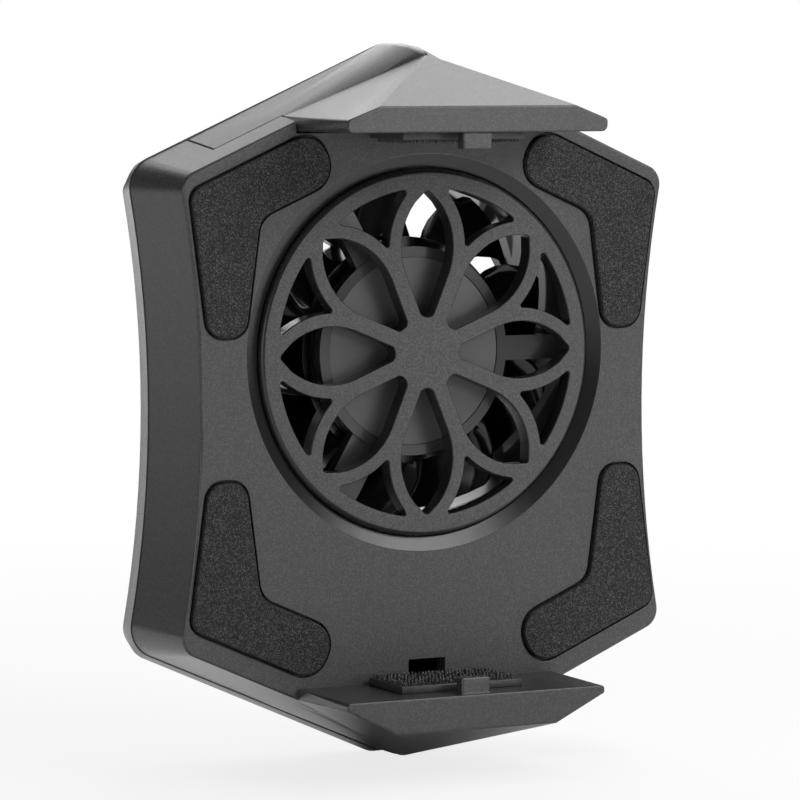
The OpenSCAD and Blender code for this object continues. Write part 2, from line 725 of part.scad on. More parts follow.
module front_shell() {
    color(shell_color) difference() {
        union() {
            difference() {
                union() {
                    difference() {
                        front_skin();
                        lower_half() facet_space(0, keel_d);
                    }
                    lower_half() hook(lower_lip_w, lower_lip_h, lower_end_h, 0, keel_d, keel(keel_d));
                }
                roof_space(roof_t + slide_gap, roof_half + slide_gap, strip_d);
                difference() {
                    front_form(wall, face_t, front_d + past);
                    roof_space(roof_t + slide_gap + wall, roof_half + slide_gap + wall, face_t - past);
                }
            }
            lower_half() lip_tab();
            mirrored() leg_guides();
            for (x = [-case_x, case_x], z = [-case_z, case_z])
                rod(case_post_r, face_t - 0.2, front_d, [x, z - ring_up]);
            for (a = lug_angles)
                rod(small_post_r, face_t - 0.2, lug_y, lug_r * [cos(a), sin(a)]);
            for (p = board_posts)
                rod(small_post_r, face_t - 0.2, board_y, p);
            for (x = [-leg_mid, leg_mid])
                rod(anchor_r, face_t - 0.2, leg_y + leg_d - 1, [x, anchor_z - anchor_r]);
        }
        rod(mouth_r, -past, face_t + past);
        rotate([-90, 0, 0]) cylinder(r1 = ring_r, r2 = mouth_r, h = mouth_bevel);
        block([-jaw_half - slide_gap, -past, jaw_z - slide_gap],
            [jaw_half + slide_gap, strip_d + past, point_h + past]);
        mirrored() block([leg_in - slide_gap, leg_y - slide_gap, guide_z + guide_h / 2],
            [leg_out + slide_gap, leg_y + leg_d + slide_gap, point_h]);
        lower_half() hook_hollow(face_t + 0.5);
        block([-slot_w / 2, -past, low_jaw_z], [slot_w / 2, face_t + past, low_jaw_z + slot_h]);
        for (right = [false, true], up = [false, true])
            foam_place(right, up) slab(-past, foam_sink) polygon(foam_outline(foam_gap));
        for (x = [-case_x, case_x], z = [-case_z, case_z])
            rod(case_screw_r + screw_gap, face_t + 1, front_d + past, [x, z - ring_up]);
        for (a = lug_angles)
            rod(small_screw_r + screw_gap, face_t - 0.6, lug_y + past, lug_r * [cos(a), sin(a)]);
        for (p = board_posts)
            rod(small_screw_r + screw_gap, face_t - 0.6, board_y + past, p);
        usb_place() usb_bar(usb_w + 0.6, usb_h + 0.6, -3, usb_set + 3);
    }
}

// Form of the rear cover, moved in by d; its top edges are rounded from the seam on
module cover_form(d, from, back, r) {
    top_r = back - front_d;
    round = [for (a = [0 : 15 : 90]) back - r + r * sin(a)];
    depths = concat([from], round);
    skin([for (y = depths)
        let (side = r - sqrt(max(0, pow(r, 2) - pow(max(0, y - back + r), 2))),
            top = top_r - sqrt(max(0, pow(top_r, 2) - pow(max(0, y - front_d), 2))))
        [y, [for (p = cover_outline(rim_e - d - side, seam_out + 0.12 - d - top,
            rim_e - d - side + (y > front_d ? low_out : 0))) [p[0], p[1] - ring_up]]]]);
}

// Outline of the air outlet
module vent() {
    out_r = duct_in - 0.5;
    in_r = hub_r - 0.7;
    difference() {
        circle(out_r);
        circle(in_r);
        for (i = [0 : vent_bars - 1])
            rotate(vent_turn + i * 360 / vent_bars) translate([(in_r + out_r) / 2, 0]) rotate(vent_lean)
                square([2 * (out_r - in_r), vent_bar_w], center = true);
    }
}

module rear_cover() {
    color(shell_color) difference() {
        union() {
            difference() {
                cover_form(0, front_d, back_y, rim_r);
                cover_form(wall, front_d - past, back_in, rim_r - back_t + 0.2);
            }
            for (x = [-case_x, case_x], z = [-case_z, case_z])
                rod(case_head_r + 0.9, front_d, back_in + 0.2, [x, z - ring_up]);
            mirrored() block([rib_x, leg_y + leg_d + guide_gap, guide_z],
                [leg_out, back_in + 0.2, guide_z + guide_h]);
        }
        slab(back_in - past, back_y + past) vent();
        for (x = [-case_x, case_x], z = [-case_z, case_z]) {
            rod(case_screw_r + screw_gap, front_d - past, back_y + past, [x, z - ring_up]);
            rod(case_head_r + 0.2, head_seat, back_y + past, [x, z - ring_up]);
        }
        rod(button_r + button_gap, back_in - past, back_y + past, [0, button_z]);
    }
}

module upper_jaw() {
    gap = slide_gap;
    color(shell_color) {
        difference() {
            union() {
                hook(upper_lip_w, upper_lip_h, upper_end_h, facet_d, 0, ridge(0));
                difference() {
                    intersection() {
                        front_skin();
                        block([-jaw_half, 0.5, jaw_z], [jaw_half, strip_d + 2 * gap, point_h + past]);
                    }
                    facet_space(facet_d, 1);
                }
            }
            hook_hollow(strip_d + past);
        }
        lip_tab();
        intersection() {
            difference() {
                front_skin();
                under_top(roof_t, corner_x);
            }
            block([-roof_half, strip_d + gap, jaw_z - 12], [roof_half, front_d - gap, point_h + past]);
        }
        mirrored() {
            intersection() {
                block([leg_in, leg_y, foot_z], [leg_out, leg_y + leg_d, point_h]);
                front_form(roof_t / 2, 0, front_d + past);
            }
            block([leg_in, leg_y, foot_z], [leg_out + foot_out, leg_y + leg_d, foot_top]);
        }
    }
}

// Grip pad under the upper jaw; the lower one is its mirror
module jaw_pad() {
    color(foam_color) translate([0, 0, jaw_z - jaw_pad_t]) linear_extrude(jaw_pad_t)
        translate([-jaw_pad_w / 2, -jaw_pad_back - jaw_pad_d]) square([jaw_pad_w, jaw_pad_d]);
}

module upper_jaw_pad() {
    jaw_pad();
}

module lower_jaw_pad() {
    lower_half() jaw_pad();
}

module foam_pad_upper_left() {
    foam_pad(false, true);
}

module foam_pad_upper_right() {
    foam_pad(true, true);
}

module foam_pad_lower_left() {
    foam_pad(false, false);
}

module foam_pad_lower_right() {
    foam_pad(true, false);
}

// Tension spring from a leg's foot down to its peg
tail = 4 * wire_r;
turn_steps = 8;
coil_h = spring_len - 2 * tail;
coil_path = [for (i = [0 : spring_turns * turn_steps]) let (a = i * 360 / turn_steps)
    [spring_r * cos(a), spring_r * sin(a), anchor_z + tail + coil_h * i / (spring_turns * turn_steps)]];
coil_out = [for (i = [0 : spring_turns * turn_steps]) let (a = i * 360 / turn_steps) [cos(a), sin(a), 0]];
least_gap = min([for (i = [0 : len(coil_path) - turn_steps - 1])
    norm(coil_path[i] - coil_path[i + turn_steps])]) - 2 * wire_r;
echo(spring_least_gap = least_gap);

module jaw_spring(x) {
    low = [spring_r, 0, anchor_z + 0.05];
    high = [spring_r, 0, foot_z - 0.05];
    color(steel_color) translate([x, leg_y + leg_d / 2, 0])
        tube(concat([low], coil_path, [high]), concat([[1, 0, 0]], coil_out, [[1, 0, 0]]), wire_r);
}

module jaw_spring_left() {
    jaw_spring(-leg_mid);
}

module jaw_spring_right() {
    jaw_spring(leg_mid);
}

// Channel for the lead, along its strut
module lead_channel(from, to) {
    rotate([0, -lead_angle, 0])
        block([from, holder_y + 0.6, -2 * lead_r - 0.2], [to, strut_back + past, 2 * lead_r + 0.2]);
}

module fan_frame() {
    color(shell_color) difference() {
        union() {
            pipe(duct_r, duct_in, duct_y, duct_back);
            rod(holder_r, holder_y, holder_back);
            rod(tube_r, holder_y, tube_back);
            for (s = [[0, strut_w], [120, strut_w], [lead_angle, lead_strut_w]])
                rotate([0, -s[0], 0])
                    block([holder_r - 0.7, holder_y + 0.2, -s[1] / 2],
                        [duct_in + duct_wall / 2, strut_back, s[1] / 2]);
            for (a = lug_angles) {
                rod(small_post_r, lug_y, lug_y + lug_t, lug_r * [cos(a), sin(a)]);
                rotate([0, -a, 0])
                    block([duct_r - duct_wall / 2, lug_y, -lug_neck], [lug_r, lug_y + lug_t, lug_neck]);
            }
        }
        rod(disc_r + seat_gap, holder_y - past, holder_y + disc_t);
        rod(tube_in, holder_y + 0.9, tube_back + past);
        lead_channel(holder_r - 4, duct_r + past);
        for (a = lug_angles)
            rod(small_screw_r + screw_gap, lug_y - past, lug_y + lug_t + past, lug_r * [cos(a), sin(a)]);
    }
}

module hub_disc() {
    color(shell_color) rod(disc_r, holder_y + 0.1, holder_y + disc_t);
}

module bearing_sleeve() {
    color("goldenrod") pipe(tube_in - 0.02, shaft_r + shaft_gap, holder_back + 1, tube_back - 0.2);
}

module fan_board() {
    color(board_color) pipe(pole_r + 0.6, tube_r + seat_gap, fan_board_y, fan_board_y + fan_board_t);
}

module stator_core() {
    neck_r = pole_r - 1.4;
    pole_half = 0.56 * pole_r;
    ring_in = tube_r + seat_gap;
    to = core_y + core_d;
    color("gray") {
        pipe(ring_in + 1, ring_in, core_y, to);
        for (a = [45 : 90 : 315])
            rotate([0, a, 0])
                block([ring_in + 0.5, core_y + 0.1, -neck_w / 2], [neck_r + 0.4, to - 0.1, neck_w / 2]);
        intersection() {
            pipe(pole_r, neck_r, core_y, to);
            for (a = [45, 135])
                rotate([0, a, 0])
                    block([-pole_r - past, core_y - past, -pole_half], [pole_r + past, to + past, pole_half]);
        }
    }
}

module stator_coils() {
    from = tube_r + seat_gap + 1 + 0.9;
    to = pole_r - 1.4 - 0.3;
    half = neck_w / 2;
    color(copper_color) for (a = [45 : 90 : 315])
        rotate([0, a, 0]) difference() {
            block([from, coil_y, -half - coil_t], [to, core_y + core_d + coil_t, half + coil_t]);
            block([from - past, core_y - seat_gap, -half - seat_gap],
                [to + past, core_y + core_d + seat_gap, half + seat_gap]);
        }
}

// Blade section, swept back towards its tip
module blade_section() {
    bow = 14;
    root = hub_r - hub_wall / 2;
    steps = [for (i = [0 : 5]) let (s = i / 5) [root + (blade_r - root) * s, -bow * s * s]];
    edge = [for (p = steps) p[0] * [cos(p[1]), sin(p[1])]];
    polygon(concat([for (p = edge) p + [0, blade_t / 2]], [for (p = backwards(edge)) p - [0, blade_t / 2]]));
}

module fan_rotor() {
    boss_r = shaft_r + 1.4;
    color(blade_color) {
        difference() {
            union() {
                pipe(hub_r, cup_r, hub_y, hub_back);
                rod(hub_r - hub_wall / 2, cup_back, hub_back);
                rod(boss_r, tube_back + 0.3, hub_back);
            }
            rod(shaft_r, tube_back - past, hub_back - hub_wall / 2);
        }
        for (i = [0 : blades - 1])
            translate([0, hub_back - 0.2, 0]) rotate([90, 0, 0]) rotate(rotor_turn + i * 360 / blades)
                linear_extrude(hub_d - 0.4, twist = -blade_sweep, slices = 6, $fn = 12) blade_section();
    }
}

module rotor_yoke() {
    color(steel_color) pipe(cup_r - seat_gap, yoke_in, hub_y + 0.4, cup_back);
}

module rotor_magnet() {
    color("dimgray") pipe(yoke_in - seat_gap, magnet_in, hub_y + 0.6, cup_back);
}

groove_y = holder_back + 0.4;
groove_w = 0.4;

module rotor_shaft() {
    color(steel_color) difference() {
        rod(shaft_r, holder_y + 1, hub_back - hub_wall / 2);
        pipe(shaft_r + past, shaft_r * 0.75, groove_y, groove_y + groove_w);
    }
}

module shaft_clip() {
    color("ivory") pipe(tube_in - 0.3, shaft_r * 0.75 + 0.02, groove_y + 0.02, groove_y + groove_w - 0.02);
}

// Lead of two wires, in its channel and then down to the control board
module fan_lead() {
    y = holder_y + 0.6 + lead_r + 0.05;
    out = [cos(lead_angle), sin(lead_angle)];
    bend = (duct_r + 1.2) * out;
    drop = board_top - 2;
    color("maroon") for (s = [-1, 1]) {
        shift = s * (lead_r + 0.1);
        across = shift * [out[1], -out[0]];
        first = (holder_r - 3.6) * out + across;
        second = bend + across;
        third = [bend[0] - 0.6 + shift * -1, bend[1] - 1.6];
        route = [first, second, third, [third[0], drop]];
        tube([for (p = route) [p[0], y, p[1]]], [for (p = route) [0, 1, 0]], lead_r);
    }
}

module fan_screws() {
    color(steel_color) for (a = lug_angles)
        screw(small_screw_r, small_head_r, lug_y + lug_t, face_t - 0.4, lug_r * [cos(a), sin(a)]);
}

module case_screws() {
    color(steel_color) for (x = [-case_x, case_x], z = [-case_z, case_z])
        screw(case_screw_r, case_head_r, head_seat, face_t + 1.5, [x, z - ring_up]);
}

module board_screws() {
    color(steel_color) for (p = board_posts)
        screw(small_screw_r, small_head_r, board_back, face_t - 0.4, p);
}

module control_board() {
    half = board_w / 2;
    slope = function (x) -ring_up - slant_z(x, wall + 1.6);
    color(board_color) difference() {
        slab(board_y, board_back) polygon([[-half, board_top], [half, board_top], [half, slope(half)],
            [usb_x - 4, slope(usb_x - 4)], [1, board_low], [-half, board_low]]);
        for (p = board_posts)
            rod(small_screw_r + screw_gap, board_y - past, board_back + past, p);
    }
}

module board_chips() {
    edge = board_top - 1;
    chip_x = -0.18 * board_w;
    color("black") {
        block([chip_x - chip_w / 2, board_back, edge - chip_h],
            [chip_x + chip_w / 2, board_back + chip_t, edge]);
        for (i = [1 : 3])
            block([(2 * i - 0.5) * part_w, board_back, edge - 0.9 * part_w],
                [(2 * i + 0.5) * part_w, board_back + part_w / 2, edge]);
    }
}

module usb_shell() {
    color(steel_color) usb_place() difference() {
        usb_bar(usb_w, usb_h, usb_set, usb_set + usb_d);
        usb_bar(usb_w - 2 * usb_wall, usb_h - 2 * usb_wall, usb_set - past, usb_set + usb_d - usb_wall);
    }
}

module usb_tongue() {
    color("black") usb_place()
        translate([0, 0, usb_set + usb_d / 2 + 0.4 - usb_wall / 2])
            cube([usb_w - 2.3, 0.7, usb_d - 0.8 - usb_wall], center = true);
}

module tact_switch() {
    half = switch_w / 2;
    color("black") difference() {
        block([-half, board_back, button_z - half], [half, board_back + switch_h, button_z + half]);
        rod(plunger_r + 0.1, plunger_y - button_travel - 0.1, board_back + switch_h + past, [0, button_z]);
    }
}

module switch_plunger() {
    color("ivory") rod(plunger_r, plunger_y, plunger_y + plunger_h, [0, button_z]);
}

module power_button() {
    flange_back = back_in - 0.05;
    color(shell_color) {
        rod(button_r, flange_back - button_flange, back_y + button_out, [0, button_z]);
        rod(button_r + 1, flange_back - button_flange, flange_back, [0, button_z]);
        rod(plunger_r, plunger_y + plunger_h, flange_back, [0, button_z]);
    }
}

front_shell();
rear_cover();
front_grille();
upper_jaw();
upper_jaw_pad();
lower_jaw_pad();
foam_pad_upper_left();
foam_pad_upper_right();
foam_pad_lower_left();
foam_pad_lower_right();
jaw_spring_left();
jaw_spring_right();
fan_frame();
hub_disc();
bearing_sleeve();
fan_board();
stator_core();
stator_coils();
fan_rotor();
rotor_yoke();
rotor_magnet();
rotor_shaft();
shaft_clip();
fan_lead();
fan_screws();
case_screws();
board_screws();
control_board();
board_chips();
usb_shell();
usb_tongue();
tact_switch();
switch_plunger();
power_button();
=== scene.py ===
import math
import random
import bmesh
import bpy
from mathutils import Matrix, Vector


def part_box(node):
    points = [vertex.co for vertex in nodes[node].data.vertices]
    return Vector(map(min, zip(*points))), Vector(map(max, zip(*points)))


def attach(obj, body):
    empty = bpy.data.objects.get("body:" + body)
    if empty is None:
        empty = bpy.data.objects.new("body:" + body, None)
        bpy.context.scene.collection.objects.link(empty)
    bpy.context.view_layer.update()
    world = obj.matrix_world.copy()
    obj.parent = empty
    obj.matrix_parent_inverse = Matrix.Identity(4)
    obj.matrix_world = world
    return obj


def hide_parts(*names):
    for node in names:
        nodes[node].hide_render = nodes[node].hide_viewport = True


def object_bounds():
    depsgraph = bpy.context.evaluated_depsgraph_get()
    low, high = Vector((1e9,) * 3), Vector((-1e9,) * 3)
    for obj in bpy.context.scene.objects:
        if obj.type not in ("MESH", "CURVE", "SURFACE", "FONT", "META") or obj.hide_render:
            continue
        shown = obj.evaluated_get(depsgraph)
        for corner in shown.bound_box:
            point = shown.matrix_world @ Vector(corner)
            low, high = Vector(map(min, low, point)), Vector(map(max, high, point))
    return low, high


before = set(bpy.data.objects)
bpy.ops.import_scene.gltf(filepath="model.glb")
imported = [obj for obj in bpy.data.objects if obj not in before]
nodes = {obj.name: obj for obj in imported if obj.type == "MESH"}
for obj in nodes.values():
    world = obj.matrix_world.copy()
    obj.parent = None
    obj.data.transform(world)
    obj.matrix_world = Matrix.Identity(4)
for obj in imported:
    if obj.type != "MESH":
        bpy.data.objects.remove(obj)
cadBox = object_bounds()
mm = 0.001
print("frame loaded:", len(nodes), "nodes")


def setInput(tree, socket, value):
    if hasattr(value, "is_output"):  # an output is linked, anything else is a fixed value
        tree.links.new(value, socket)
    else:
        socket.default_value = value


def addNode(tree, kind, settings=None, **inputs):
    made = tree.nodes.new(kind)
    for key, value in (settings or {}).items():
        setattr(made, key, value)
    for key, value in inputs.items():  # i0 and i1 are sockets by number
        byNumber = key[0] == "i" and key[1:].isdigit()
        setInput(tree, made.inputs[int(key[1:]) if byNumber else key], value)
    return made


def maths(tree, operation, a, b=0.0, clamp=False):
    made = addNode(tree, "ShaderNodeMath", {"operation": operation, "use_clamp": clamp}, i0=a, i1=b)
    return made.outputs[0]


def times(tree, first, *others):
    for other in others:
        first = maths(tree, "MULTIPLY", first, other)
    return first


# a soft step from low to high, turned into toLow to toHigh
def spread(tree, value, low, high, toLow=0.0, toHigh=1.0):
    made = addNode(tree, "ShaderNodeMapRange", {"interpolation_type": "SMOOTHSTEP"})
    for socket, v in zip(made.inputs[:5], (value, low, high, toLow, toHigh)):
        setInput(tree, socket, v)
    return made.outputs[0]


def mixColor(tree, factor, a, b):
    made = tree.nodes.new("ShaderNodeMix")
    made.data_type = "RGBA"
    setInput(tree, made.inputs[0], factor)
    setInput(tree, made.inputs[6], a)
    setInput(tree, made.inputs[7], b)
    return made.outputs[2]


def cloudAt(tree, place, scale, detail):
    return addNode(tree, "ShaderNodeTexNoise", None, Vector=place, Scale=scale, Detail=detail).outputs[0]


def splitXyz(tree, vector):
    return addNode(tree, "ShaderNodeSeparateXYZ", None, i0=vector).outputs


def grey(level, blue=1.03):
    return (level, level, level * blue, 1.0)


# moulded grain, shared by the object's materials
def grainGroup():
    group = bpy.data.node_groups.new("mouldGrain", "ShaderNodeTree")
    group.interface.new_socket("Place", in_out="INPUT", socket_type="NodeSocketVector")
    group.interface.new_socket("Scale", in_out="INPUT", socket_type="NodeSocketFloat")
    group.interface.new_socket("Height", in_out="OUTPUT", socket_type="NodeSocketFloat")
    group.interface.new_socket("Speck", in_out="OUTPUT", socket_type="NodeSocketFloat")
    place, scale = group.nodes.new("NodeGroupInput").outputs[:2]
    outs = group.nodes.new("NodeGroupOutput")
    fine = addNode(group, "ShaderNodeTexNoise", None, Vector=place, Scale=scale, Detail=3.0, Roughness=0.6)
    cells = addNode(group, "ShaderNodeTexVoronoi", None, Vector=place, Scale=times(group, scale, 0.8))
    height = maths(group, "ADD", fine.outputs[0], times(group, cells.outputs[0], 0.45))
    group.links.new(height, outs.inputs[0])
    shade = addNode(group, "ShaderNodeSeparateColor", None, i0=cells.outputs[1])
    group.links.new(shade.outputs[0], outs.inputs[1])
    return group


grain = grainGroup()


def startMaterial(name):
    material = bpy.data.materials.new(name)
    material.use_nodes = True
    tree = material.node_tree
    shader = tree.nodes["Principled BSDF"]
    coords = tree.nodes.new("ShaderNodeTexCoord")
    return material, tree, shader, coords


def grainAt(tree, place, scale):
    made = tree.nodes.new("ShaderNodeGroup")
    made.node_tree = grain
    tree.links.new(place, made.inputs[0])
    made.inputs[1].default_value = scale
    return made.outputs[0], made.outputs[1]


def setBump(tree, shader, height, strength, distance):
    made = addNode(tree, "ShaderNodeBump", None, Strength=strength, Distance=distance, Height=height)
    setInput(tree, shader.inputs["Normal"], made.outputs[0])


plainLook = {"cloud": 60.0, "vary": 0.12, "metal": 0.0, "bump": 0.05, "depth": 0.00004}


def plainMaterial(name, look):
    look = {**plainLook, **look}
    material, tree, shader, coords = startMaterial(name)
    place = coords.outputs["Object"]
    height = grainAt(tree, place, look["scale"])[0]
    cloud = cloudAt(tree, place, look["cloud"], 2.0)
    dark = tuple(c * (1 - look["vary"]) for c in look["color"][:3]) + (1.0,)
    light = tuple(min(1, c * (1 + look["vary"])) for c in look["color"][:3]) + (1.0,)
    setInput(tree, shader.inputs["Base Color"], mixColor(tree, cloud, dark, light))
    rough = spread(tree, cloud, 0.3, 0.7, look["rough"] - 0.04, look["rough"] + 0.04)
    setInput(tree, shader.inputs["Roughness"], rough)
    shader.inputs["Metallic"].default_value = look["metal"]
    setBump(tree, shader, height, look["bump"], look["depth"])
    return material


# case plastic: grained on the face, smoother on walls and jaws, polished on the mouth's bevel; the grained
# face is lighter for its grain and as painted sheen, and the walls can be darkened as painted shade
def caseMaterial(name, look):
    material, tree, shader, coords = startMaterial(name)
    place = coords.outputs["Object"]
    across, depth, up = splitXyz(tree, place)
    ahead = times(tree, splitXyz(tree, coords.outputs["Normal"])[1], -1.0)
    square = maths(tree, "ADD", maths(tree, "POWER", across, 2.0), maths(tree, "POWER", up, 2.0))
    nearAxis = maths(tree, "LESS_THAN", maths(tree, "SQRT", square), look["mouthR"])
    inMouth = times(tree, nearAxis, maths(tree, "LESS_THAN", depth, look["mouthD"]))
    facing = spread(tree, ahead, *look["facing"])
    onFace = times(tree, facing, maths(tree, "GREATER_THAN", depth, look["faceY"]))
    textured = times(tree, onFace, maths(tree, "SUBTRACT", 1.0, inMouth))
    height, speck = grainAt(tree, place, look["scale"])
    fleck = spread(tree, speck, 0.3, 1.0)
    cloud = cloudAt(tree, place, 45.0, 3.0)

    # wall colour times a darkening factor: 1 on the case, painted shade on the grille's walls inside its
    # openings
    wall = look["wall"] * look["color"]
    base = mixColor(tree, cloud, grey(wall * 0.88), grey(wall * 0.98))
    base = mixColor(tree, fleck, base, grey(wall * 1.5))
    base = mixColor(tree, inMouth, base, grey(look["mouthColor"]))
    # the grained face is lighter: its moulded grain tone plus painted sheen
    face = look["face"] * look["color"]
    grained = mixColor(tree, cloud, grey(face * 0.95), grey(face * 1.05))
    grained = mixColor(tree, fleck, grained, grey(look["color"] * look["speckle"]))
    setInput(tree, shader.inputs["Base Color"], mixColor(tree, textured, base, grained))

    faceChange = times(tree, textured, look["faceRough"] - look["wallRough"])
    mouthChange = times(tree, inMouth, look["mouthRough"] - look["wallRough"])
    rough = maths(tree, "ADD", maths(tree, "ADD", look["wallRough"], faceChange), mouthChange)
    rough = maths(tree, "ADD", rough, spread(tree, cloud, 0.3, 0.7, -0.03, 0.03), clamp=True)
    setInput(tree, shader.inputs["Roughness"], rough)
    bumpChange = times(tree, textured, look["faceBump"] - look["wallBump"])
    setBump(tree, shader, height, maths(tree, "ADD", look["wallBump"], bumpChange), look["bumpDepth"])
    return material


# foam: dark cells with pale flecks, and a few painted glints as light specks
def foamMaterial(name, look):
    material, tree, shader, coords = startMaterial(name)
    place = coords.outputs["Object"]
    height, speck = grainAt(tree, place, look["scale"])
    fine, cell = grainAt(tree, place, look["scale"] * 1.9)
    cloud = cloudAt(tree, place, 400.0, 4.0)
    base = mixColor(tree, cloud, grey(look["color"] * 0.6), grey(look["color"] * 1.4))
    base = mixColor(tree, spread(tree, cell, 0.55, 1.0), base, grey(look["color"] * look["fleck"]))
    # painted glints: a few cells lightened to stand in for light catching the foam
    base = mixColor(tree, spread(tree, speck, look["paintedGlintFrom"], 1.0), base, grey(look["paintedGlintColor"]))
    setInput(tree, shader.inputs["Base Color"], base)
    shader.inputs["Roughness"].default_value = look["rough"]
    shader.inputs["Specular IOR Level"].default_value = look["specular"]
    setBump(tree, shader, maths(tree, "ADD", height, fine), look["bump"], look["bumpDepth"])
    return material


# face factor: the grained face's lighter tone, part grain and part painted sheen
caseLook = {"color": 0.045, "face": 1.35, "wall": 1.0, "speckle": 2.1, "scale": 8500.0,
            "wallRough": 0.22, "faceRough": 0.52, "wallBump": 0.2, "faceBump": 0.75, "bumpDepth": 0.00008,
            "facing": (0.93, 0.985),  # how squarely a grained face looks forward
            "faceY": -0.001,  # the jaws in front of this stay smooth
            "mouthR": 0.02405, "mouthD": 0.0024, "mouthColor": 0.014, "mouthRough": 0.13}
# the grille's walls inside its openings are darkened to 0.4 as painted shade
grilleLook = {**caseLook, "mouthR": 0.0, "wall": 0.4, "speckle": 2.7, "scale": 11000.0, "faceBump": 0.9}
# the foam's spark values set its painted glints
foamLook = {"color": 0.018, "scale": 6500.0, "fleck": 6.0, "paintedGlintFrom": 0.98, "paintedGlintColor": 0.1,
            "rough": 0.7, "specular": 0.3, "bump": 0.7, "bumpDepth": 0.00012}
plainLooks = {
    "framePlastic": {"color": grey(0.055), "scale": 3000.0, "rough": 0.14, "depth": 0.00006},
    "rotorPlastic": {"color": grey(0.006), "scale": 900.0, "rough": 0.14, "bump": 0.01},
    "labelFilm": {"color": grey(0.095), "scale": 1500.0, "rough": 0.4, "bump": 0.02},
    "loopFabric": {"color": grey(0.05), "scale": 2500.0, "rough": 0.38, "bump": 0.3,
                   "vary": 0.4, "cloud": 900.0},
    "steel": {"color": (0.55, 0.55, 0.56), "scale": 1800.0, "rough": 0.32, "metal": 1.0, "bump": 0.03},
    "bronze": {"color": (0.5, 0.32, 0.14), "scale": 2500.0, "rough": 0.4, "metal": 1.0, "bump": 0.08},
    "copper": {"color": (0.62, 0.27, 0.12), "scale": 2500.0, "rough": 0.3, "metal": 1.0, "bump": 0.1},
    "ferrite": {"color": grey(0.05), "scale": 2200.0, "rough": 0.6, "bump": 0.15},
    "boardGreen": {"color": (0.003, 0.014, 0.007), "scale": 900.0, "rough": 0.3, "bump": 0.03},
    "chipBlack": {"color": grey(0.012), "scale": 2600.0, "rough": 0.5, "bump": 0.1},
    "nylon": {"color": (0.66, 0.64, 0.56), "scale": 1500.0, "rough": 0.45},
    "wireRed": {"color": (0.2, 0.012, 0.012), "scale": 1800.0, "rough": 0.5}}

finishes = {name: plainMaterial(name, look) for name, look in plainLooks.items()}
finishes["casePlastic"] = caseMaterial("casePlastic", caseLook)
finishes["grillePlastic"] = caseMaterial("grillePlastic", grilleLook)
finishes["foamBlack"] = foamMaterial("foamBlack", foamLook)
print("materials made:", len(finishes))


def link(obj):
    bpy.context.scene.collection.objects.link(obj)
    return obj


# a merged copy of a CAD node, with its flat faces whole
def nodeCopy(nodeName):
    bm = bmesh.new()
    bm.from_mesh(nodes[nodeName].data)
    bmesh.ops.remove_doubles(bm, verts=bm.verts, dist=0.002 * mm)
    bmesh.ops.dissolve_degenerate(bm, dist=0.002 * mm, edges=bm.edges)
    bmesh.ops.dissolve_limit(bm, angle_limit=math.radians(0.8), verts=bm.verts, edges=bm.edges)
    bmesh.ops.recalc_face_normals(bm, faces=bm.faces)
    return bm


def finishPiece(bm, piece, weighted=True):
    mesh = bpy.data.meshes.new(piece["name"])
    bm.to_mesh(mesh)
    bm.free()
    for poly in mesh.polygons:
        poly.use_smooth = True
    mesh.set_sharp_from_angle(angle=math.radians(piece.get("sharp", 38)))
    mesh.materials.append(finishes[piece["finish"]])
    obj = link(bpy.data.objects.new(piece["name"], mesh))
    if weighted:
        normals = obj.modifiers.new("faceNormals", "WEIGHTED_NORMAL")
        normals.keep_sharp = True
        normals.weight = 80
    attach(obj, piece["body"])
    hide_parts(piece["node"])
    return obj


def bevelEdges(bm, edges, width, segments):
    if edges:
        bmesh.ops.bevel(bm, geom=edges, offset=width, offset_type="OFFSET", segments=segments, profile=0.5,
                        affect="EDGES", clamp_overlap=True, material=-1, miter_outer="SHARP", loop_slide=True)


def edgeMiddle(edge):
    return (edge.verts[0].co + edge.verts[1].co) / 2


def wantedEdges(bm, bevel):
    limit = math.radians(bevel["angle"])
    where = bevel.get("where", lambda middle: True)
    sharp = [e for e in bm.edges if len(e.link_faces) == 2 and e.calc_face_angle(0.0) > limit]
    return [e for e in sharp if where(edgeMiddle(e))]


# dress a CAD node: reshape its copy where asked, then round its edges, widths in mm
def dressed(piece):
    bm = nodeCopy(piece["node"])
    if "shape" in piece:
        piece["shape"](bm, piece)
    for bevel in piece["bevels"]:
        edges = wantedEdges(bm, bevel)
        bevelEdges(bm, edges, bevel["width"] * mm, bevel.get("segments", 2))
        print("piece", piece["name"], "edges", len(edges))
    return finishPiece(bm, piece)


caseBase = {"body": "housing", "slot": "case_plastic", "finish": "casePlastic"}
lipY = -12 * mm  # a jaw's lip is in front of this


def onLip(p):
    return p.y < lipY


def onJawEnd(p):
    return lipY < p.y < -0.5 * mm and abs(p.x) > 17 * mm


def onRidge(p):
    return p.y < -1 * mm and abs(p.x) < 16.5 * mm and p.z > 29 * mm


# the mouth's bevel is a cone that starts at its edge and is made shallower
def flattenMouth(bm, piece):
    mouth = piece["mouth"]
    for v in bm.verts:
        radius = math.hypot(v.co.x, v.co.z)
        onCone = abs(mouth["edge"] * mm - radius - v.co.y) < 0.05 * mm
        if onCone and mouth["inner"] * mm < radius < mouth["outer"] * mm:
            v.co.y *= mouth["share"]


frontShell = {**caseBase, "name": "frontShellSkin", "node": "front_shell", "sharp": 14, "shape": flattenMouth,
              "mouth": {"edge": 24, "inner": 22.3, "outer": 24.05, "share": 0.5},
              "bevels": [{"width": 0.35, "angle": 20, "segments": 3, "where": onLip},
                         {"width": 0.8, "angle": 60, "segments": 4, "where": onJawEnd},
                         {"width": 0.2, "angle": 32, "where": lambda p: p.y < 2 * mm or p.y > 12 * mm}]}
dressed(frontShell)


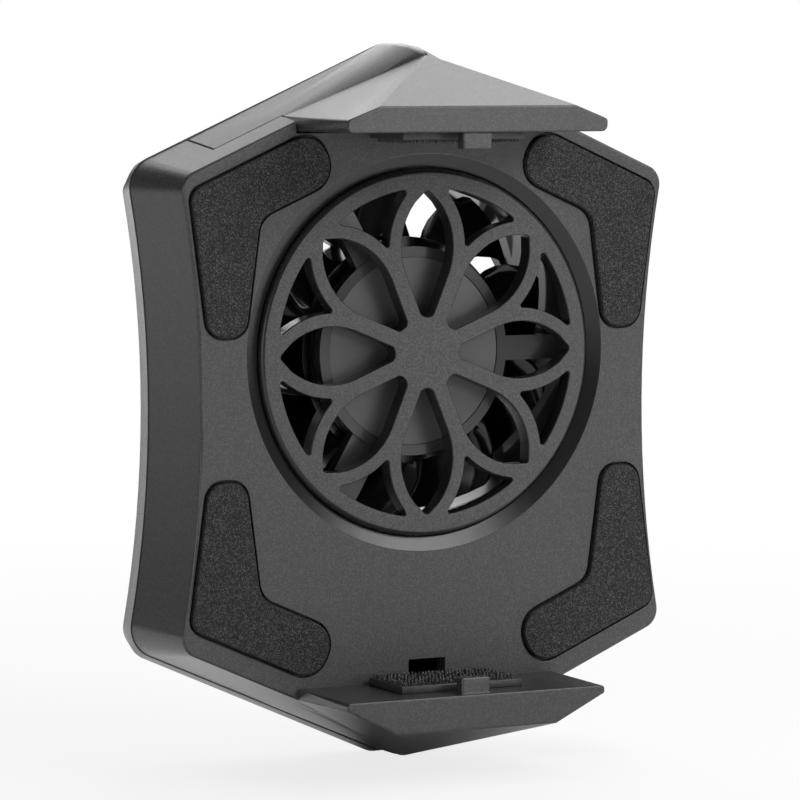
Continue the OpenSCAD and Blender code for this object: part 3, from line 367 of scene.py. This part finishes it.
# the cover's sides are drawn in behind the seam, most where they face straight out
def taperSides(bm, piece):
    bm.normal_update()
    for v in bm.verts:
        out = Vector((v.normal.x, 0, v.normal.z))
        if abs(v.co.x) < piece["sideFrom"] * mm or out.length < 0.3 or out.x * v.co.x < 0:
            continue
        out.normalize()
        share = min(1, max(0, (abs(out.x) - 0.35) / 0.65))
        share *= share * (3 - 2 * share)
        depth = v.co.y / mm
        for (a, drawnA), (b, drawnB) in zip(piece["drawIn"], piece["drawIn"][1:]):
            if a <= depth < b:
                v.co -= out * share * (drawnA + (drawnB - drawnA) * (depth - a) / (b - a)) * mm
                break


rearCover = {**caseBase, "name": "rearCoverSkin", "node": "rear_cover", "shape": taperSides, "sideFrom": 24,
             # pairs of depth and inset
             "drawIn": ((13.9, 0), (14.3, 0.45), (15, 0.5), (15.65, 0.37), (16.2, 0.03), (16.5, 0)),
             "bevels": [{"width": 0.12, "angle": 45}]}
dressed(rearCover)

grille = {**caseBase, "name": "grilleSkin", "node": "front_grille", "finish": "grillePlastic",
          "bevels": [{"width": 0.16, "angle": 45, "where": lambda p: p.y < 1 * mm}]}
dressed(grille)


# the roof's front edge comes down to the facets in front of it
def lowerStep(bm, piece):
    step = piece["step"]
    for v in bm.verts:
        x, y, z = abs(v.co.x) / mm, v.co.y / mm, v.co.z / mm
        foot = step["endZ"] + (step["endX"] - x) * step["rise"]
        onStep = x < step["endX"] - 0.1 and abs(y - step["midY"] - step["skew"] * x) < 0.06
        if onStep and foot + 0.03 < z < foot + 1:
            v.co.z = (foot + 0.01) * mm


upperJaw = {**caseBase, "name": "upperJawSkin", "node": "upper_jaw", "body": "jaw", "shape": lowerStep,
            "step": {"endX": 17.3, "endZ": 28.55, "rise": 0.424, "midY": 0.999, "skew": 0.1504},
            "bevels": [{"width": 0.5, "angle": 20, "segments": 4, "where": lambda p: onLip(p) or onRidge(p)},
                       {"width": 0.15, "angle": 40, "where": lambda p: p.z > 20 * mm and p.y > 4.6 * mm}]}
dressed(upperJaw)

fanFrame = {"name": "fanFrameSkin", "node": "fan_frame", "body": "housing", "slot": "fan_plastic",
            "finish": "framePlastic", "bevels": [{"width": 0.1, "angle": 45}]}
dressed(fanFrame)

hubDisc = {"name": "hubDiscFilm", "node": "hub_disc", "body": "housing", "slot": "label",
           "finish": "labelFilm", "bevels": [{"width": 0.05, "angle": 45}]}
dressed(hubDisc)

rotor = {"name": "rotorSkin", "node": "fan_rotor", "body": "rotor", "slot": "rotor_plastic",
         "finish": "rotorPlastic", "bevels": [{"width": 0.08, "angle": 60}]}
dressed(rotor)

button = {**caseBase, "name": "buttonCap", "node": "power_button", "body": "button",
          "bevels": [{"width": 0.2, "angle": 45, "segments": 3}]}
dressed(button)
print("case pieces done")

for corner in ("upper_left", "upper_right", "lower_left", "lower_right"):
    foam = {"name": "foam_" + corner, "node": "foam_pad_" + corner, "body": "housing", "slot": "foam",
            "finish": "foamBlack",
            "bevels": [{"width": 0.22, "angle": 60, "segments": 3, "where": lambda p: p.y < 0.2 * mm}]}
    dressed(foam)
print("foam pads done")


# one loop of thread: half an ellipse that stands on the backing
def addLoop(bm, foot, wire, half, tall, turn):
    along = Vector((math.cos(turn), math.sin(turn), 0))
    side = Vector((-math.sin(turn), math.cos(turn), 0))
    rings = []
    for k in range(7):
        a = math.pi * k / 6
        rise = Vector((0, 0, math.copysign(math.sin(a), tall)))
        centre = foot + along * half * math.cos(a) + rise * abs(tall)
        out = along * math.cos(a) + rise
        rings.append([bm.verts.new(centre + wire * offset) for offset in (out, side, -out, -side)])
    for a, b in zip(rings, rings[1:]):
        for i in range(4):
            j = (i + 1) % 4
            bm.faces.new((a[i], a[j], b[j], b[i]))
    bm.faces.new(rings[0])
    bm.faces.new(rings[-1])


# a grip pad: a rounded backing with rows of loops, which stand up or hang down
def loopPad(piece):
    low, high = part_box(piece["node"])
    up = piece["up"]
    rnd = random.Random(piece["seed"])
    backing, step, wire, margin = (piece[key] * mm for key in ("backing", "step", "wire", "margin"))
    base = low.z if up > 0 else high.z
    bm = bmesh.new()
    bmesh.ops.create_cube(bm, size=1)
    bmesh.ops.scale(bm, verts=bm.verts, vec=(high.x - low.x, high.y - low.y, backing))
    middle = ((low.x + high.x) / 2, (low.y + high.y) / 2, base + up * backing / 2)
    bmesh.ops.translate(bm, verts=bm.verts, vec=middle)
    bevelEdges(bm, list(bm.edges), piece["rounding"] * mm, 2)
    height = (high.z - low.z) - backing
    rows = int((high.y - low.y - 2 * wire) / step)
    columns = int((high.x - low.x - 2 * wire) / step)
    jitter, twist, shortest = piece["jitter"], piece["twist"], piece["shortest"]
    for row in range(rows):
        stagger = 0.25 * (row % 2 * 2 - 1)  # every other row is half a step along
        for column in range(columns):
            x = low.x + wire + step * (column + 0.5 + stagger) + rnd.uniform(-jitter, jitter) * step
            y = low.y + wire + step * (row + 0.5) + rnd.uniform(-jitter, jitter) * step
            x = min(max(x, low.x + margin), high.x - margin)
            y = min(max(y, low.y + margin), high.y - margin)
            turn = rnd.uniform(-twist, twist)
            half = piece["loop"] * mm * rnd.uniform(shortest, 1.0)
            tall = (height - wire) * rnd.uniform(shortest, 1.0)
            addLoop(bm, Vector((x, y, base + up * backing)), wire, half, up * tall, turn)
    bmesh.ops.recalc_face_normals(bm, faces=bm.faces)
    obj = finishPiece(bm, piece, weighted=False)
    print("piece", piece["name"], "faces", len(obj.data.polygons))


loopBase = {"slot": "grip_pad", "finish": "loopFabric", "sharp": 60,
            "backing": 0.9, "rounding": 0.1, "step": 0.46, "wire": 0.07, "loop": 0.22, "margin": 0.34,
            "jitter": 0.12, "twist": 1.5, "shortest": 0.8}
lowerPad = {**loopBase, "name": "lowerLoopPad", "node": "lower_jaw_pad", "body": "housing",
            "up": 1, "seed": 3}
loopPad(lowerPad)
upperPad = {**loopBase, "name": "upperLoopPad", "node": "upper_jaw_pad", "body": "jaw",
            "up": -1, "seed": 8}
loopPad(upperPad)

# inner nodes keep their CAD meshes
innerLooks = {
    "steel": ("jaw_spring_left", "jaw_spring_right", "stator_core", "rotor_yoke", "rotor_shaft",
              "fan_screws", "case_screws", "board_screws", "usb_shell"),
    "bronze": ("bearing_sleeve",),
    "copper": ("stator_coils",),
    "ferrite": ("rotor_magnet",),
    "boardGreen": ("fan_board", "control_board"),
    "chipBlack": ("board_chips", "usb_tongue", "tact_switch"),
    "nylon": ("shaft_clip", "switch_plunger"),
    "wireRed": ("fan_lead",)}
for finish, nodeNames in innerLooks.items():
    for nodeName in nodeNames:
        mesh = nodes[nodeName].data
        mesh.materials.clear()
        mesh.materials.append(finishes[finish])
    print("inner nodes in", finish + ":", len(nodeNames))


# pale floor: whitens to the camera away from the object, and glows behind it to glossy rays
def paleFloor(look):
    bm = bmesh.new()
    bmesh.ops.create_circle(bm, cap_ends=True, radius=look["radius"], segments=64)
    bmesh.ops.translate(bm, verts=bm.verts, vec=(0, 0, cadBox[0].z))
    mesh = bpy.data.meshes.new("floor")
    bm.to_mesh(mesh)
    bm.free()
    material = bpy.data.materials.new("paleFloor")
    material.use_nodes = True
    tree = material.node_tree
    tree.nodes.clear()
    rays = tree.nodes.new("ShaderNodeLightPath").outputs
    place = tree.nodes.new("ShaderNodeTexCoord").outputs["Object"]
    away = addNode(tree, "ShaderNodeVectorMath", {"operation": "LENGTH"}, i0=place).outputs["Value"]
    color = mixColor(tree, cloudAt(tree, place, 6.0, 2.0), grey(look["dark"], 1.0), grey(look["light"], 1.0))
    diffuse = addNode(tree, "ShaderNodeBsdfDiffuse", None, Color=color)
    glow = addNode(tree, "ShaderNodeEmission", None, Color=(1, 1, 1, 1), Strength=1.0)
    seen = times(tree, rays["Is Camera Ray"], spread(tree, away, *look["seen"]))
    behind = spread(tree, splitXyz(tree, place)[1], *look["behind"])
    mirrored = times(tree, behind, spread(tree, away, *look["mirrored"]))
    white = maths(tree, "MAXIMUM", seen, times(tree, rays["Is Glossy Ray"], mirrored))
    mixed = addNode(tree, "ShaderNodeMixShader", None, i0=white, i1=diffuse.outputs[0], i2=glow.outputs[0])
    tree.links.new(mixed.outputs[0], tree.nodes.new("ShaderNodeOutputMaterial").inputs[0])
    mesh.materials.append(material)
    link(bpy.data.objects.new("floor", mesh))


paleFloor({"radius": 0.6, "dark": 0.88, "light": 0.92, "seen": (0.06, 0.3, 0.8, 1.0),
           "behind": (0.012, 0.032), "mirrored": (0.45, 0.09, 0.0, 0.7)})


# dim room with a bright wall low and high behind the object, white to the camera
def studioRoom(look):
    world = bpy.data.worlds.new("studio")
    bpy.context.scene.world = world
    world.use_nodes = True
    tree = world.node_tree
    tree.nodes.clear()
    rays = tree.nodes.new("ShaderNodeLightPath").outputs
    side, back, up = splitXyz(tree, tree.nodes.new("ShaderNodeTexCoord").outputs["Generated"])
    low = times(tree, spread(tree, up, *look["lowUp"]), spread(tree, back, *look["lowBack"]),
                spread(tree, side, *look["lowSide"]))
    high = times(tree, spread(tree, up, *look["highUp"]), spread(tree, back, *look["highBack"]),
                 spread(tree, side, *look["highSide"]), spread(tree, up, *look["highFade"]))
    backdrop = maths(tree, "ADD", look["level"], maths(tree, "ADD", low, high))
    room = addNode(tree, "ShaderNodeBackground", None, Color=(1, 1, 1, 1), Strength=backdrop)
    white = addNode(tree, "ShaderNodeBackground", None, Color=(1, 1, 1, 1), Strength=1.0)
    mixed = addNode(tree, "ShaderNodeMixShader", None, i0=rays["Is Camera Ray"],
                    i1=room.outputs[0], i2=white.outputs[0])
    tree.links.new(mixed.outputs[0], tree.nodes.new("ShaderNodeOutputWorld").inputs[0])


studioRoom({"level": 0.11,
            "lowUp": (0.06, -0.1), "lowBack": (0.45, 0.8), "lowSide": (-0.6, -0.15, 0.35, 1.35),
            "highUp": (0.1, 0.25), "highBack": (0.35, 0.62), "highSide": (-0.25, 0.05),
            "highFade": (0.3, 0.55, 2.0, 1.05)})


def softbox(light):
    data = bpy.data.lights.new(light["name"], "AREA")
    data.shape = "RECTANGLE"
    data.size, data.size_y = light["size"]
    data.energy = light["power"]
    obj = link(bpy.data.objects.new(light["name"], data))
    obj.location = light["at"]
    aim = Vector((0, 0, light["aimZ"])) - Vector(light["at"])
    obj.rotation_euler = aim.to_track_quat("-Z", "Y").to_euler()


softbox({"name": "topBox", "at": (0.45, 0.1, 1.1), "aimZ": 0, "size": (0.9, 0.7), "power": 6.5})
softbox({"name": "backBox", "at": (0.56, 0.7, 0.82), "aimZ": 0.03, "size": (0.6, 0.5), "power": 1.25})
softbox({"name": "keyBox", "at": (0.27, -0.36, 0.31), "aimZ": -0.01, "size": (0.38, 0.26), "power": 1.5})
softbox({"name": "frontBox", "at": (0.5, -0.94, 0.08), "aimZ": 0, "size": (0.5, 0.2), "power": 1.2})
softbox({"name": "fillBox", "at": (-0.9, -0.44, 0.06), "aimZ": 0, "size": (0.4, 0.4), "power": 1.1})

photoView = {"at": (-0.24598, -0.47535, 0.03753), "turn": (85.3814, -0.0945, -26.998), "lens": 200.22}
camera = bpy.data.cameras.new("camera")
camera.lens = photoView["lens"]
camera.sensor_width = 36
camera.clip_start, camera.clip_end = 0.05, 100
cameraObj = link(bpy.data.objects.new("camera", camera))
cameraObj.location = photoView["at"]
cameraObj.rotation_euler = [math.radians(a) for a in photoView["turn"]]
bpy.context.scene.camera = cameraObj
bpy.context.scene.view_settings.view_transform = "Standard"
print("camera and lights set")
